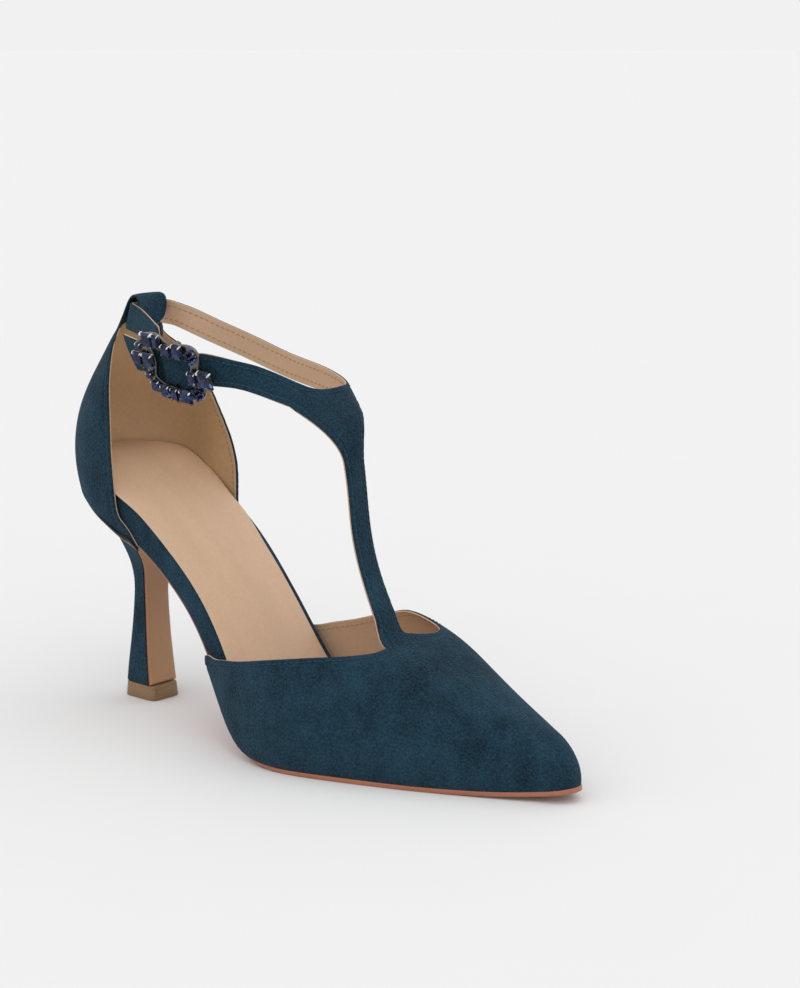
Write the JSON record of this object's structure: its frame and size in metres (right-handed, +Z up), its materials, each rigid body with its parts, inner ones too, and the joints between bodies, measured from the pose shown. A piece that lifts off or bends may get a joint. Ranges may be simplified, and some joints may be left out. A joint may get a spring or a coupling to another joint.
{
  "type": "pointed toe shoe",
  "caption": "Right pointed toe high-heel pump in suede, with a T-bar, an ankle strap through a back loop, a jewelled buckle on elastic and open waist.",
  "frame": {"origin": "middle of the bounding box in plan, on the floor that the shoe stands on", "axes": "+X from the heel to the toe, +Z up, +Y to the medial side of this right shoe"},
  "size_m": [0.236, 0.0818, 0.162],
  "materials": {
    "suede": "deep petrol blue suede, brushed nap",
    "sock": "smooth pinkish tan lining leather",
    "sole": "reddish tan sole leather, smooth",
    "breast": "tan leather on the heel's front face",
    "lift": "bronze brown top lift, satin",
    "gunmetal": "dark mirror plating",
    "elastic": "ribbed navy elastic",
    "stone": "faceted sapphire blue glass"
  },
  "bodies": {
    "root": {"outsole": "sole", "insole_base": "suede", "sock": "sock", "heel": "suede", "heel_breast": "breast", "top_lift": "lift", "heel_rand": "gunmetal", "counter": "suede", "upper": "suede", "elastic": "elastic", "buckle_plate": "gunmetal", "buckle_bar": "gunmetal", "stone_01": "stone", "stone_02": "stone", "stone_03": "stone", "stone_04": "stone", "stone_05": "stone", "stone_06": "stone", "stone_07": "stone", "stone_08": "stone", "stone_09": "stone", "stone_10": "stone", "stone_11": "stone", "stone_12": "stone", "stone_13": "stone", "stone_14": "stone", "stone_15": "stone", "stone_16": "stone"}
  },
  "joints": []
}
